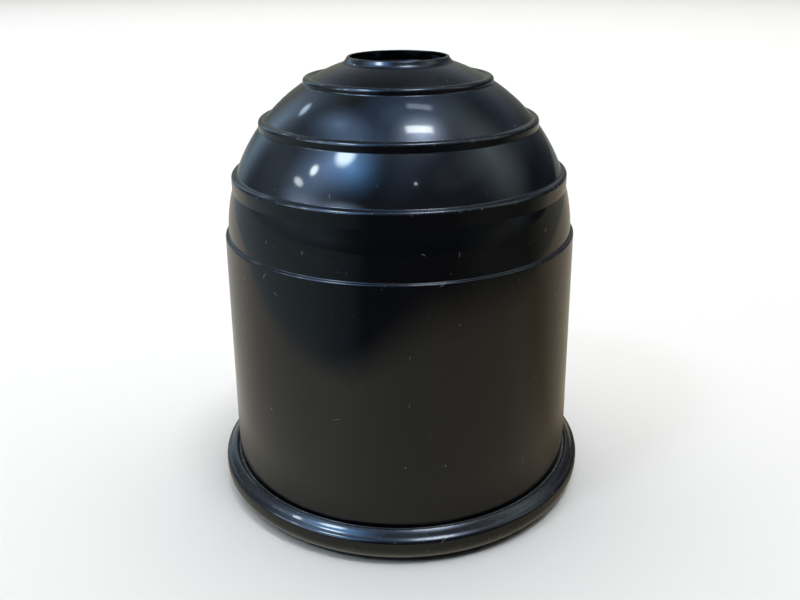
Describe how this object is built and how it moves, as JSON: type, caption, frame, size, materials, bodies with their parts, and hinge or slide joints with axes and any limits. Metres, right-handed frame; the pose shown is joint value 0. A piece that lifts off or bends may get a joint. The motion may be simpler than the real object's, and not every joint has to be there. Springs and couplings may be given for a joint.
{
  "type": "tow ball cover",
  "caption": "Domed push-on plastic cap that covers a tow ball, with round-topped ribs round the dome, a lipped recess at the crown and a rolled rim round the open mouth.",
  "frame": {"origin": "centre of the open mouth, in the plane of the flat foot under the rolled rim", "axes": "+Z along the cover's axis from the mouth up to the crown; the cover is round, so X and Y are free, and -Y is the side the picture shows"},
  "size_m": [0.063, 0.063, 0.0711],
  "materials": {
    "black_plastic": "glossy, with dust and fine scratches"
  },
  "bodies": {
    "root": {"cover": "black_plastic"}
  },
  "joints": []
}
